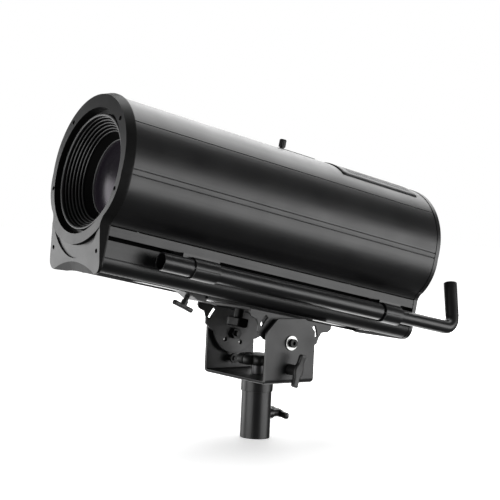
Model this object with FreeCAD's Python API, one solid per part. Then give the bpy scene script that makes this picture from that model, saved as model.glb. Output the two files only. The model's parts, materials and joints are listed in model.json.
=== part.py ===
import FreeCAD, Part
import os
import math

V = FreeCAD.Vector
os.makedirs("parts", exist_ok=True)

# ---------------------------------------------------------------- driving dimensions (mm)
# Row frame: +Z up the stand axis, origin at the mouth of the stand socket, the beam leaves towards -Y,
# and the tilt axis runs along X.  The head is drawn level about the tilt pivot, then tilted and lifted.
TILT = 10.0               # nose-up angle of the head at rest, degrees
PIVOT_Z = 166.0           # height of the tilt pivot above the socket mouth

SHELL_Z = 204.0           # centre of the round casing above the pivot
SHELL_R = 110.0           # outer radius of the casing
WALL = 3.0                # casing wall
OPTIC_Z = 194.5           # optical axis above the pivot
FRONT_Y = -375.0          # face of the front frame
FRAME_DEPTH = 15.0
REAR_Y = 267.0            # rear face of the rear frame
REAR_RIM = 8.0
SHELL_Y0 = FRONT_Y + FRAME_DEPTH
SHELL_Y1 = REAR_Y - REAR_RIM
BASE_HALF = 77.5          # half width of the base
BASE_Z = 45.5             # underside of the base rails
SEAM_ANGLE = 52.5         # top cover's edge, from the vertical
STRIP_Z = (191.2, 199.5)  # thin strip between the two side seams
LOWER_SEAM_Z = 115.4      # side panel meets the base rail
GROOVE_Z = (94.4, 100.3)  # accessory groove in the base rail
LINE_Z = 68.4             # shallow line in the base rail
GAP = 1.1                 # seam between neighbouring panels

APERTURE_R = 97.0         # opening of the front frame
HOOD_R = 89.6             # outer radius of the hood's front lip
LENS_R = 70.0
HOOD_STEPS = 7

HANDLE_X = 108.0          # axis of the steering handle
HANDLE_Z = 79.5
SLEEVE_R = 13.8
ROD_R = 11.8
ROD_LEAN = 17.5           # how far the grip leans in over the rear, degrees
GRIP_Y = 334.0

EAR_T = 5.0               # plate of the lower bracket
EAR_X = 86.5              # outer face of its ears
EAR_HALF = 48.8
EAR_LOW = -66.0
EAR_TOP = 38.5
BRACKET_X = 76.0          # outer face of the tilting bracket's ears
BRACKET_T = 4.0
BRACKET_TOP = 43.5
PIVOT_R = 5.0
FIT = 0.05                # radial clearance of a running fit

TUBE_R = 25.0
SOCKET_R = 19.25
SOCKET_DEPTH = 85.0
COLLAR_R = 26.8
STUD_R = 6.0
KNOB_R = 37.5


# ---------------------------------------------------------------- helpers
def box(x0, x1, y0, y1, z0, z1):
    return Part.makeBox(x1 - x0, y1 - y0, z1 - z0, V(x0, y0, z0))


def rod(radius, start, end):
    start = V(*start)
    end = V(*end)
    return Part.makeCylinder(radius, (end - start).Length, start, end - start)


def tube(outer, inner, start, end):
    return rod(outer, start, end).cut(rod(inner, start, end))


def fuse(first, *rest):
    joined = first.multiFuse(list(rest))
    return joined.removeSplitter()


def prism(points, direction):
    """Closed polygon of (x, y, z) points pushed along a vector."""
    corners = [V(*p) for p in points]
    face = Part.Face(Part.makePolygon(corners + [corners[0]]))
    return face.extrude(V(*direction))


def side_plate(points, x0, x1):
    """Plate with a (y, z) outline between two X planes."""
    return prism([(x0, y, z) for y, z in points], (x1 - x0, 0, 0))


def revolve_y(points, z):
    """Solid of revolution of (r, y) points about the Y line at height z."""
    corners = [V(r, y, z) for r, y in points]
    face = Part.Face(Part.makePolygon(corners + [corners[0]]))
    return face.revolve(V(0, 0, z), V(0, 1, 0), 360)


def mirror_x(shape):
    return shape.mirror(V(0, 0, 0), V(1, 0, 0))


def on_head(shape):
    """Takes a shape from the level head frame to the row frame."""
    placed = shape.copy()
    placed.rotate(V(0, 0, 0), V(1, 0, 0), -TILT)
    placed.translate(V(0, 0, PIVOT_Z))
    return placed


def on_yoke(shape):
    """Takes a shape drawn about the pivot to the row frame, untilted."""
    placed = shape.copy()
    placed.translate(V(0, 0, PIVOT_Z))
    return placed


def save(name, shape, place=None):
    placed = place(shape) if place else shape
    placed.exportStep("parts/" + name + ".step")


def group(*shapes):
    return Part.makeCompound(list(shapes))


# ---------------------------------------------------------------- casing outline
def arc(a, b, c):
    return Part.Arc(V(a[0], 0, a[1]), V(b[0], 0, b[1]), V(c[0], 0, c[1])).toShape()


def line(a, b):
    return Part.LineSegment(V(a[0], 0, a[1]), V(b[0], 0, b[1])).toShape()


def outline(corner):
    """Keyhole outline in XZ: round top, drawn-in neck, square base with lower corners of a given radius."""
    shoulder_z = STRIP_Z[0]
    shoulder_x = math.sqrt(SHELL_R ** 2 - (shoulder_z - SHELL_Z) ** 2)
    cheek = (105.6, 161.5)
    chin = (87.0, 130.5)
    neck = (80.0, 123.0)
    waist = (BASE_HALF, LOWER_SEAM_Z)
    foot = (BASE_HALF, BASE_Z + corner)
    sole = (BASE_HALF - corner, BASE_Z)
    bend = (BASE_HALF - corner * (1 - math.sqrt(0.5)), BASE_Z + corner * (1 - math.sqrt(0.5)))
    right = [
        arc((shoulder_x, shoulder_z), cheek, chin),
        arc(chin, neck, waist),
        line(waist, foot),
        arc(foot, bend, sole),
    ]
    left = [
        arc((-sole[0], sole[1]), (-bend[0], bend[1]), (-foot[0], foot[1])),
        line((-foot[0], foot[1]), (-waist[0], waist[1])),
        arc((-waist[0], waist[1]), (-neck[0], neck[1]), (-chin[0], chin[1])),
        arc((-chin[0], chin[1]), (-cheek[0], cheek[1]), (-shoulder_x, shoulder_z)),
    ]
    crown = arc((-shoulder_x, shoulder_z), (0, SHELL_Z + SHELL_R), (shoulder_x, shoulder_z))
    base = line(sole, (-sole[0], sole[1]))
    return Part.Wire(right + [base] + left + [crown])


OUTLINE = outline(20.0)
FRAME_OUTLINE = outline(12.0)


def slab(offset, y0, y1, wire=OUTLINE):
    """The casing outline grown or shrunk, as a solid between two Y planes."""
    if offset:
        wire = wire.makeOffset2D(offset)
    solid = Part.Face(wire).extrude(V(0, y1 - y0, 0))
    solid.translate(V(0, y0, 0))
    return solid


def sector(angle, y0, y1, reach=140.0):
    """Wedge over the top of the casing, plus and minus an angle from the vertical."""
    a = math.radians(angle)
    x = reach * math.sin(a)
    z = SHELL_Z + reach * math.cos(a)
    points = [(0, y0, SHELL_Z), (x, y0, z), (x, y0, SHELL_Z + reach), (-x, y0, SHELL_Z + reach), (-x, y0, z)]
    return prism(points, (0, y1 - y0, 0))


# ---------------------------------------------------------------- casing panels
KNOB_Y = -27.0            # steering of the lens: stem at the front end of its slot
SLOT_Y = (-34.0, 38.5)
SLOT_PAD = 2.0            # raised frame around the slot
PAD_HALF = 8.0
SLOT_HALF = 4.0
VENT_Y = (62.0, 236.0)
VENT_ANGLE = 35.5


def casing_wall(depth=WALL):
    return slab(0, SHELL_Y0, SHELL_Y1).cut(slab(-depth, SHELL_Y0 - 1, SHELL_Y1 + 1))


def top_cover(wall):
    cover = wall.common(sector(SEAM_ANGLE - 0.3, SHELL_Y0, SHELL_Y1))
    slot = box(-SLOT_HALF, SLOT_HALF, SLOT_Y[0], SLOT_Y[1], SHELL_Z + 90, SHELL_Z + 120)
    top = SHELL_Z + SHELL_R
    pad = box(-PAD_HALF, PAD_HALF, SLOT_Y[0] - 2, SLOT_Y[1] + 2, top - WALL + 1, top + SLOT_PAD)
    window = sector(VENT_ANGLE, VENT_Y[0], VENT_Y[1])
    return fuse(cover, pad).cut(slot).cut(window)


def side_panel(wall):
    """Side extrusion from the top seam to the base, with the two thin lines that edge its strip."""
    half = wall.common(box(0, 140, SHELL_Y0, SHELL_Y1, LOWER_SEAM_Z + GAP / 2, SHELL_Z + SHELL_R))
    panel = half.cut(sector(SEAM_ANGLE + 0.3, SHELL_Y0 - 1, SHELL_Y1 + 1))
    for z in STRIP_Z:
        panel = panel.cut(box(SHELL_R - 2.2, 140, SHELL_Y0 - 1, SHELL_Y1 + 1, z - GAP / 2, z + GAP / 2))
    return panel


def base_rail():
    """Extruded rail: thick outer wall with the accessory groove, and a foot turned inwards."""
    outer = slab(0, SHELL_Y0, SHELL_Y1)
    side = outer.common(box(60, 90, SHELL_Y0, SHELL_Y1, BASE_Z - 1, LOWER_SEAM_Z - GAP / 2))
    pocket = box(50, BASE_HALF - WALL, SHELL_Y0 - 1, SHELL_Y1 + 1, 104, 130)
    pocket_low = box(50, BASE_HALF - WALL, SHELL_Y0 - 1, SHELL_Y1 + 1, 60.5, 90)
    groove = box(BASE_HALF - 14, 90, SHELL_Y0 - 1, SHELL_Y1 + 1, GROOVE_Z[0], GROOVE_Z[1])
    undercut = box(BASE_HALF - 14, BASE_HALF - 4, SHELL_Y0 - 1, SHELL_Y1 + 1, GROOVE_Z[0] - 2, GROOVE_Z[1] + 2)
    shallow = box(BASE_HALF - 0.8, 90, SHELL_Y0 - 1, SHELL_Y1 + 1, LINE_Z - 0.6, LINE_Z + 0.6)
    arch = box(50, 64, SHELL_Y0 - 1, SHELL_Y1 + 1, BASE_Z - 2, 57)
    rail = side
    for cutter in (pocket, pocket_low, groove, undercut, shallow, arch):
        rail = rail.cut(cutter)
    return rail


def bottom_plate():
    plate = box(-BASE_HALF + 4, BASE_HALF - 4, SHELL_Y0, SHELL_Y1, 60.6, 63.6)
    return plate


def vent_cover():
    """Raised louvre plate that fills the window over the lamp house, with a field of slots."""
    outer = rod(SHELL_R + 1.8, (0, VENT_Y[0] + 1, SHELL_Z), (0, VENT_Y[1] - 1, SHELL_Z))
    inner = rod(SHELL_R - 1.2, (0, VENT_Y[0] - 1, SHELL_Z), (0, VENT_Y[1] + 1, SHELL_Z))
    plate = outer.cut(inner).common(sector(VENT_ANGLE - 0.6, VENT_Y[0], VENT_Y[1]))
    slots = []
    rows = 9
    for column in range(-3, 4):
        for row in range(rows):
            y = 84.0 + row * 17.0
            slot = box(-3.0, 3.0, y, y + 11.0, SHELL_R - 6, SHELL_R + 6)
            slot.rotate(V(0, 0, 0), V(0, 1, 0), column * 8.2)
            slot.translate(V(0, 0, SHELL_Z))
            slots.append(slot)
    return plate.cut(group(*slots))


# ---------------------------------------------------------------- front
RING_R = 113.0            # ring around the aperture, proud of the chin
SCOOP_R = 76.0            # round scoop in the chin, under the ring
SCOOP_Z = 138.0
SCOOP_DEPTH = 2.5
CHIN_TOP = 112.0          # the chin slopes back from here to the foot
CHIN_SLOPE = 11.0 / 64.0
FOOT_Z = 57.0             # top of the arched bevel under the chin
FOOT_R = 620.0
FOOT_FALL = 13.0 / 5.5    # drop of that bevel for each mm towards the rear
SCREWS = [(72.8, 271.0), (96.5, 166.5), (68.2, 75.5)]    # (x, z) of the face screws, mirrored


def screw_points():
    """(x, y, z) where each face screw enters: on the ring, or on the sloping chin for the lowest pair."""
    points = []
    for x, z in SCREWS:
        y = FRONT_Y + max(0.0, CHIN_TOP - z) * CHIN_SLOPE
        points += [(x, y, z), (-x, y, z)]
    return points


def chin_block(depth):
    """All that lies in front of the chin's slope, or of a plane deeper than it."""
    low = BASE_Z - 4
    y = FRONT_Y + depth
    points = [(FRONT_Y - 9, CHIN_TOP), (y, CHIN_TOP), (y + (CHIN_TOP - low) * CHIN_SLOPE, low), (FRONT_Y - 9, low)]
    return side_plate(points, -100, 100)


def foot_bevel():
    """Leaning cylinder whose crown takes an arch off the lower front edge."""
    foot_y = FRONT_Y + (CHIN_TOP - FOOT_Z) * CHIN_SLOPE
    lean = V(0, 1, -FOOT_FALL)
    lean.normalize()
    centre = V(0, foot_y, FOOT_Z) - V(0, -lean.z, lean.y) * FOOT_R
    start = centre - lean * 80
    return Part.makeCylinder(FOOT_R, 160, start, lean)


def front_frame():
    """Tapered casting: a flat ring around the aperture and a sloping chin with a scoop."""
    shoulder_y = SHELL_Y0 - 2.0
    face = FRAME_OUTLINE.makeOffset2D(-2.0)
    face.translate(V(0, FRONT_Y, 0))
    shoulder = FRAME_OUTLINE.makeOffset2D(3.0)
    shoulder.translate(V(0, shoulder_y, 0))
    body = fuse(Part.makeLoft([face, shoulder], True, True), slab(3.0, shoulder_y, SHELL_Y0, FRAME_OUTLINE))
    ring = rod(RING_R, (0, FRONT_Y - 9, OPTIC_Z), (0, SHELL_Y0, OPTIC_Z))
    scoop = rod(SCOOP_R, (0, FRONT_Y - 9, SCOOP_Z), (0, SHELL_Y0, SCOOP_Z))
    body = body.cut(chin_block(0).cut(ring))
    body = body.cut(chin_block(SCOOP_DEPTH).common(scoop).cut(ring))
    frame = body.cut(rod(APERTURE_R, (0, FRONT_Y - 9, OPTIC_Z), (0, SHELL_Y0 + 1, OPTIC_Z)))
    frame = frame.cut(foot_bevel())
    for x, y, z in screw_points():
        frame = frame.cut(rod(1.8, (x, y - 1, z), (x, SHELL_Y0 + 1, z)))
        frame = frame.cut(rod(3.4, (x, y - 5, z), (x, y + 4, z)))
    return frame


def front_screws():
    screws = []
    for x, y, z in screw_points():
        head = rod(3.2, (x, y + 1.6, z), (x, y + 4, z))
        socket = rod(1.5, (x, y + 1, z), (x, y + 3, z))
        shank = rod(1.7, (x, y + 4, z), (x, SHELL_Y0, z))
        screws.append(fuse(head.cut(socket), shank))
    return group(*screws)


def lens_hood():
    """Stepped baffle: a lip, a run of sharp steps that narrow towards the lens, and a mounting flange."""
    lip_y = FRONT_Y + 6
    end_y = -336.0
    end_r = 73.0
    step_y = (end_y - lip_y) / HOOD_STEPS
    step_r = (HOOD_R - 3 - end_r) / HOOD_STEPS
    inner = [(HOOD_R, lip_y), (HOOD_R - 3, lip_y)]
    for i in range(HOOD_STEPS):
        r = HOOD_R - 3 - step_r * (i + 1)
        y = lip_y + step_y * (i + 1)
        inner.append((r + step_r + 0.8, y - 0.6))
        inner.append((r, y - 0.6))
        inner.append((r, y))
    inner.append((LENS_R - 2, -331.0))
    outer = [(LENS_R + 8, -331.0), (LENS_R + 8, -340.0), (HOOD_R + 1, SHELL_Y0 + 3), (APERTURE_R + 3, SHELL_Y0 + 3),
             (APERTURE_R + 3, SHELL_Y0), (HOOD_R, SHELL_Y0)]
    return revolve_y(inner + outer, OPTIC_Z)


def front_lens():
    """Plano-convex objective, dome towards the front."""
    rim = LENS_R - 0.2
    dome = 13.0
    sphere_r = (rim ** 2 + dome ** 2) / (2 * dome)
    edge_y = -325.0
    sphere = Part.makeSphere(sphere_r, V(0, edge_y - dome + sphere_r, OPTIC_Z))
    disc = rod(rim, (0, edge_y - dome - 1, OPTIC_Z), (0, edge_y + 7, OPTIC_Z))
    return sphere.common(disc)


def lens_retainer():
    return tube(LENS_R + 7.5, LENS_R - 3, (0, -331, OPTIC_Z), (0, -328.2, OPTIC_Z))


def lens_cell():
    """Cell that carries the objective, part of the front bulkhead."""
    points = [(LENS_R, -328.2), (LENS_R + 7.5, -328.2), (LENS_R + 7.5, -310), (LENS_R - 4, -310), (LENS_R - 4, -317.8),
              (LENS_R, -317.8)]
    return revolve_y(points, OPTIC_Z)


# ---------------------------------------------------------------- inner frame and optics
GUIDE_X = 62.0
GUIDE_Z = 132.0
GUIDE_R = 5.0
FRONT_BULK_Y = (-312.0, -308.0)
REAR_BULK_Y = (108.0, 112.0)
DRIVER_HALF = 52.0        # cover of the driver on the bottom plate
DRIVER_Y = (-230.0, -20.0)
DRIVER_TOP = 108.0


def bulkhead(y0, y1, hole):
    plate = slab(-WALL - 0.4, y0, y1).common(box(-140, 140, y0, y1, 63.6, 330))
    plate = plate.cut(rod(hole, (0, y0 - 1, OPTIC_Z), (0, y1 + 1, OPTIC_Z)))
    for side in (-1, 1):
        x = side * GUIDE_X
        plate = plate.cut(rod(GUIDE_R, (x, y0 - 1, GUIDE_Z), (x, y1 + 1, GUIDE_Z)))
        rail_block = box(59.4, 80, y0 - 1, y1 + 1, 60, 104.4)
        plate = plate.cut(rail_block if side > 0 else mirror_x(rail_block))
    return plate


def guide_rods():
    rods = []
    for side in (-1, 1):
        x = side * GUIDE_X
        rods.append(rod(GUIDE_R, (x, FRONT_BULK_Y[0], GUIDE_Z), (x, REAR_BULK_Y[1], GUIDE_Z)))
    return group(*rods)


def lens_carriage():
    """Ring on two sleeves that run on the guide rods, with the stem of the knob on top."""
    y = KNOB_Y
    ring = tube(62, 50, (0, y - 9, OPTIC_Z), (0, y + 9, OPTIC_Z))
    seat = tube(51, 46, (0, y + 3, OPTIC_Z), (0, y + 9, OPTIC_Z))
    body = fuse(ring, seat)
    for side in (-1, 1):
        x = side * GUIDE_X
        sleeve = rod(9, (x, y - 16, GUIDE_Z), (x, y + 16, GUIDE_Z))
        leg = box(min(x, side * 44), max(x, side * 44), y - 8, y + 8, GUIDE_Z, GUIDE_Z + 26)
        body = fuse(body, leg, sleeve)
    for side in (-1, 1):
        x = side * GUIDE_X
        body = body.cut(rod(GUIDE_R + FIT, (x, y - 20, GUIDE_Z), (x, y + 20, GUIDE_Z)))
    post = box(-6, 6, y - 6, y + 6, OPTIC_Z + 60, SHELL_Z + SHELL_R - WALL - 6)
    stem = rod(2.4, (0, y, OPTIC_Z + 70), (0, y, SHELL_Z + SHELL_R + 10))
    return fuse(body, post, stem)


def zoom_lens():
    y = KNOB_Y
    sphere_r = 90.0
    disc = rod(50, (0, y - 9, OPTIC_Z), (0, y + 3, OPTIC_Z))
    dome = Part.makeSphere(sphere_r, V(0, y - 9 + sphere_r, OPTIC_Z))
    return disc.common(dome)


def slot_slider():
    """Dark strip under the slot that moves with the knob and keeps light in."""
    z = SHELL_Z + SHELL_R - WALL
    strip = box(-9, 9, KNOB_Y - 12, KNOB_Y + 72, z - 3.4, z - 1.4)
    return strip.cut(rod(2.6, (0, KNOB_Y, z - 10), (0, KNOB_Y, z + 10)))


def focus_knob():
    """Knurled thumb knob on the stem."""
    top = SHELL_Z + SHELL_R
    foot = top + SLOT_PAD + 1
    knob = rod(5.9, (0, KNOB_Y, foot), (0, KNOB_Y, top + 18.5))
    knob = knob.cut(rod(2.45, (0, KNOB_Y, top), (0, KNOB_Y, top + 10.2)))
    flutes = []
    for i in range(12):
        a = math.radians(30 * i)
        x = 6.2 * math.cos(a)
        y = KNOB_Y + 6.2 * math.sin(a)
        flutes.append(rod(0.8, (x, y, foot + 2), (x, y, top + 17)))
    return knob.cut(group(*flutes))


def gate_housing():
    """Barrel on the lamp bulkhead: the field aperture in front and the seat of the condenser behind it."""
    points = [(21, 66), (46, 66), (46, 108), (40, 108), (40, 84), (30, 84), (30, 69), (21, 69)]
    return revolve_y(points, OPTIC_Z)


def condenser_lens():
    disc = rod(39.9, (0, 84, OPTIC_Z), (0, 100, OPTIC_Z))
    dome = Part.makeSphere(48, V(0, 84 + 48, OPTIC_Z))
    return disc.common(dome)


def led_module():
    board = box(-32, 32, 104, 107.9, OPTIC_Z - 32, OPTIC_Z + 32)
    board = board.common(rod(39, (0, 103, OPTIC_Z), (0, 109, OPTIC_Z)))
    chip = rod(13, (0, 102.4, OPTIC_Z), (0, 104, OPTIC_Z))
    return fuse(board, chip)


def heat_sink():
    base = box(-62, 62, 112, 120, OPTIC_Z - 62, OPTIC_Z + 62)
    sink = base
    fins = 21
    for i in range(fins):
        x = -61 + i * 6.0
        sink = sink.fuse(box(x, x + 2.0, 119, 172, OPTIC_Z - 62, OPTIC_Z + 62))
    return sink.removeSplitter()


def fan_frame():
    y0 = 174.0
    y1 = 199.0
    frame = box(-60, 60, y0, y1, OPTIC_Z - 60, OPTIC_Z + 60)
    frame = frame.cut(rod(57, (0, y0 - 1, OPTIC_Z), (0, y1 + 1, OPTIC_Z)))
    hub = rod(20, (0, y1 - 3, OPTIC_Z), (0, y1, OPTIC_Z))
    spindle = rod(3, (0, y0 + 4, OPTIC_Z), (0, y1, OPTIC_Z))
    struts = box(-3, 3, y1 - 3, y1, OPTIC_Z - 58, OPTIC_Z + 58)
    cross = box(-58, 58, y1 - 3, y1, OPTIC_Z - 3, OPTIC_Z + 3)
    return fuse(frame, hub, spindle, struts, cross)


def fan_rotor():
    y0 = 175.0
    y1 = 194.5
    hub = rod(19, (0, y0, OPTIC_Z), (0, y1, OPTIC_Z))
    rotor = hub
    for i in range(7):
        blade = box(-1.2, 1.2, y0 + 1, y1 - 1, 17, 54)
        blade.rotate(V(0, (y0 + y1) / 2, 35), V(0, 0, 1), 32)
        blade.rotate(V(0, 0, 0), V(0, 1, 0), i * 360.0 / 7)
        blade.translate(V(0, 0, OPTIC_Z))
        rotor = rotor.fuse(blade)
    return rotor.cut(rod(3 + FIT, (0, y0 - 1, OPTIC_Z), (0, y1 + 1, OPTIC_Z)))


def driver_box():
    """Cover of the power supply and lamp driver, vented on top and open on the bottom plate."""
    y0, y1 = DRIVER_Y
    case = box(-DRIVER_HALF, DRIVER_HALF, y0, y1, 63.6, DRIVER_TOP)
    hollow = box(2 - DRIVER_HALF, DRIVER_HALF - 2, y0 + 2, y1 - 2, 63, DRIVER_TOP - 2)
    slots = [box(-40, 40, y, y + 4, DRIVER_TOP - 3, DRIVER_TOP + 1) for y in range(-215, -34, 12)]
    return case.cut(hollow).cut(group(*slots))


# ---------------------------------------------------------------- rear
BUTTON_X = (-24.0, 0.0, 24.0)
BUTTON_Z = 141.0
DATA_X = (12.0, 42.0)     # data sockets


def rear_frame():
    """Thin rim that closes the casing's rear edge."""
    return slab(0.8, SHELL_Y1, REAR_Y).cut(slab(-5.0, SHELL_Y1 - 1, REAR_Y + 1))


def rear_panel():
    y0 = SHELL_Y1 + 0.5
    y1 = y0 + 2.5
    plate = slab(-5.3, y0, y1)
    cutters = [box(-34, 34, y0 - 1, y1 + 1, 152, 172)]
    for x in BUTTON_X:
        cutters.append(rod(4.3, (x, y0 - 1, BUTTON_Z), (x, y1 + 1, BUTTON_Z)))
    cutters.append(rod(5, (58, y0 - 1, 158), (58, y1 + 1, 158)))
    cutters.append(box(-58, -36, y0 - 1, y1 + 1, 76, 106))
    cutters.append(box(-27.5, -14.5, y0 - 1, y1 + 1, 81.5, 98.5))
    for x in DATA_X:
        cutters.append(rod(11, (x, y0 - 1, 91), (x, y1 + 1, 91)))
    for column in range(-5, 6):
        for row in range(6):
            x = column * 13.0
            z = 204 + row * 15.0
            if math.hypot(x, z - SHELL_Z) < 88:
                cutters.append(box(x - 4.5, x + 4.5, y0 - 1, y1 + 1, z, z + 6))
    return plate.cut(group(*cutters))


REAR_SCREWS = [(66, 262), (92, 186), (66, 118), (66, 60)]


def rear_screws():
    screws = []
    y = SHELL_Y1 + 3.0
    for x, z in REAR_SCREWS:
        for side in (-1, 1):
            screws.append(rod(3.2, (side * x, y, z), (side * x, y + 2.2, z)))
    return group(*screws)


def control_module():
    """Circuit board with the display and the body and shaft of the rotary control."""
    y = SHELL_Y1
    board = box(-48, 70, y - 12, y - 10, 130, 175)
    display = box(-33.8, 33.8, y - 10, y + 3.4, 152.2, 171.8)
    case = box(52, 64, y - 10, y + 0.4, 152, 164)
    shaft = rod(3, (58, y, 158), (58, y + 13, 158))
    return fuse(board, display, case, shaft)


def menu_button(x):
    y = SHELL_Y1 + 0.2
    cap = rod(4.0, (x, y, BUTTON_Z), (x, y + 5.4, BUTTON_Z))
    skirt = rod(5.6, (x, y - 1.6, BUTTON_Z), (x, y, BUTTON_Z))
    return fuse(cap, skirt)


def dimmer_knob():
    y = SHELL_Y1 + 3.4
    knob = rod(9, (58, y, 158), (58, y + 13, 158))
    knob = knob.cut(rod(3 + FIT, (58, y - 1, 158), (58, y + 10, 158)))
    flutes = []
    for i in range(15):
        a = math.radians(24 * i)
        flutes.append(rod(1.0, (58 + 9.4 * math.cos(a), y + 2, 158 + 9.4 * math.sin(a)),
                          (58 + 9.4 * math.cos(a), y + 14, 158 + 9.4 * math.sin(a))))
    return knob.cut(group(*flutes))


def power_inlet():
    """Mains inlet with its recess and three blades; its flange also frames the power switch."""
    y = SHELL_Y1
    body = fuse(box(-57.8, -36.2, y - 22, y + 3, 76.2, 105.8), box(-61, -11.5, y + 3, y + 5.5, 73, 109))
    body = body.cut(box(-54.5, -39.5, y - 14, y + 6, 80, 102))
    body = body.cut(box(-27.3, -14.7, y, y + 6, 81.5, 98.5))
    blades = [box(-48, -46, y - 15, y, 89, 93), box(-52, -50, y - 15, y, 84, 88), box(-44, -42, y - 15, y, 84, 88)]
    return fuse(body, *blades)


def power_rocker():
    """Rocker cap, pressed in at its lower half, on a pin through its back."""
    y = SHELL_Y1
    profile = [(y - 4, 85.5), (y + 4.2, 84), (y + 5.0, 90), (y + 7.4, 96), (y - 4, 94.5)]
    return side_plate(profile, -26.5, -15.5)


def data_sockets():
    """Two round panel sockets with pin holes."""
    sockets = []
    y = SHELL_Y1
    for x in DATA_X:
        body = fuse(rod(10.8, (x, y - 18, 91), (x, y + 3, 91)), box(x - 13, x + 13, y + 3, y + 5, 76, 106))
        body = body.cut(rod(8.6, (x, y - 12, 91), (x, y + 6, 91)))
        for i in range(3):
            a = math.radians(90 + 120 * i)
            pin_x = x + 4.5 * math.cos(a)
            pin_z = 91 + 4.5 * math.sin(a)
            body = fuse(body, rod(1.2, (pin_x, y - 13, pin_z), (pin_x, y - 1, pin_z)))
        sockets.append(body)
    return group(*sockets)


# ---------------------------------------------------------------- steering handle
FRONT_CLAMP_Y = (-230.0, -185.0)
REAR_CLAMP_Y = (158.0, 197.0)
SLEEVE_Y = (-283.0, 154.0)
SPLIT = 0.8
JAW_R = SLEEVE_R + 2.7
SCREW_X = 86.0            # clamp screw, between the base and the collar
LUG = 7.0                 # thickness of the lug it goes through


def clamp_half(bore, y0, y1, reach, upper):
    """One jaw of a split clamp; the upper one carries the arm that bolts into the base groove.

    The arm starts a reach ahead of the jaw and ends a little behind it.
    """
    ring = tube(JAW_R, bore + FIT, (HANDLE_X, y0, HANDLE_Z), (HANDLE_X, y1, HANDLE_Z))
    passage = rod(bore + FIT, (HANDLE_X, y0 - 20, HANDLE_Z), (HANDLE_X, y1 + 20, HANDLE_Z))
    y = (y0 + y1) / 2
    screw_hole = rod(2.5, (SCREW_X, y, HANDLE_Z - LUG - 1), (SCREW_X, y, HANDLE_Z + LUG + 1))
    inner = BASE_HALF + 1.5
    lug_end = HANDLE_X - JAW_R + 3
    below = HANDLE_Z - SPLIT / 2
    above = HANDLE_Z + SPLIT / 2
    if not upper:
        lug = box(inner, lug_end, y0 + 3, y1 - 3, HANDLE_Z - LUG, HANDLE_Z)
        whole = fuse(ring, lug).cut(passage).cut(screw_hole)
        return whole.common(box(0, 160, y0, y1, HANDLE_Z - 30, below))
    arm = box(BASE_HALF + 0.2, HANDLE_X - 4, y0 - reach, y1 + 8, 88, 99.8)
    web = box(inner, lug_end + 1, y0, y1, HANDLE_Z, 92)
    tongue = box(BASE_HALF - 7.6, BASE_HALF + 1, y0 - reach, y1 + 8, GROOVE_Z[0] + 0.2, GROOVE_Z[1] - 0.2)
    whole = fuse(ring, arm, web, tongue).cut(passage).cut(screw_hole)
    return whole.common(box(0, 160, y0 - 20, y1 + 20, above, HANDLE_Z + 50))


def clamp_screws():
    screws = []
    under = HANDLE_Z - LUG
    for y0, y1 in (FRONT_CLAMP_Y, REAR_CLAMP_Y):
        y = (y0 + y1) / 2
        shank = rod(2.4, (SCREW_X, y, under), (SCREW_X, y, HANDLE_Z + LUG))
        head = rod(4.2, (SCREW_X, y, under - 4), (SCREW_X, y, under))
        socket = rod(2, (SCREW_X, y, under - 5), (SCREW_X, y, under - 1.6))
        screws.append(fuse(shank, head.cut(socket)))
    return group(*screws)


def handle_sleeve():
    return tube(SLEEVE_R, ROD_R + FIT, (HANDLE_X, SLEEVE_Y[0], HANDLE_Z), (HANDLE_X, SLEEVE_Y[1], HANDLE_Z))


def handle_rod():
    """L-shaped bar: a long run inside the sleeve, a bend and an upright grip."""
    bend = 22.0
    start_y = -110.0
    grip = 85.0
    lean = math.radians(ROD_LEAN)
    up = V(-math.sin(lean), 0, math.cos(lean))
    corner = V(HANDLE_X, GRIP_Y, HANDLE_Z)
    along = V(0, 1, 0)
    p0 = V(HANDLE_X, start_y, HANDLE_Z)
    p1 = corner - along * bend
    centre = p1 + up * bend
    mid = centre + (along - up) * (bend * math.sqrt(0.5))
    p2 = corner + up * bend
    p3 = corner + up * grip
    path = Part.Wire([Part.LineSegment(p0, p1).toShape(), Part.Arc(p1, mid, p2).toShape(),
                      Part.LineSegment(p2, p3).toShape()])
    profile = Part.Wire(Part.Circle(p0, along, ROD_R).toShape())
    bar = path.makePipeShell([profile], True, True)
    rounded = [e for e in bar.Edges if (e.CenterOfMass - p3).Length < 0.5]
    return bar.makeFillet(2.0, rounded)


# ---------------------------------------------------------------- slide rail under the head
RAIL_Y = (-250.0, 170.0)
CARRIAGE_Y = (-132.0, 86.0)
BOLT_Y = (-50.0, 50.0)    # hanger bolts of the carriage
BOLT_R = 8.0
NUT_Z = (10.5, 25.5)      # large nuts on those bolts
NUT_ACROSS = 34.0
LOCK_LEAN = 14.0          # lock screw of the slide, leaning towards the front
LOCK_TIP = (0.0, -155.0, 46.2)


def slide_rail():
    """T-shaped rail bolted along the underside."""
    web = box(-9, 9, RAIL_Y[0], RAIL_Y[1], 51, 60.6)
    flange = box(-17, 17, RAIL_Y[0], RAIL_Y[1], 47.5, 51.2)
    return fuse(web, flange)


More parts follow.
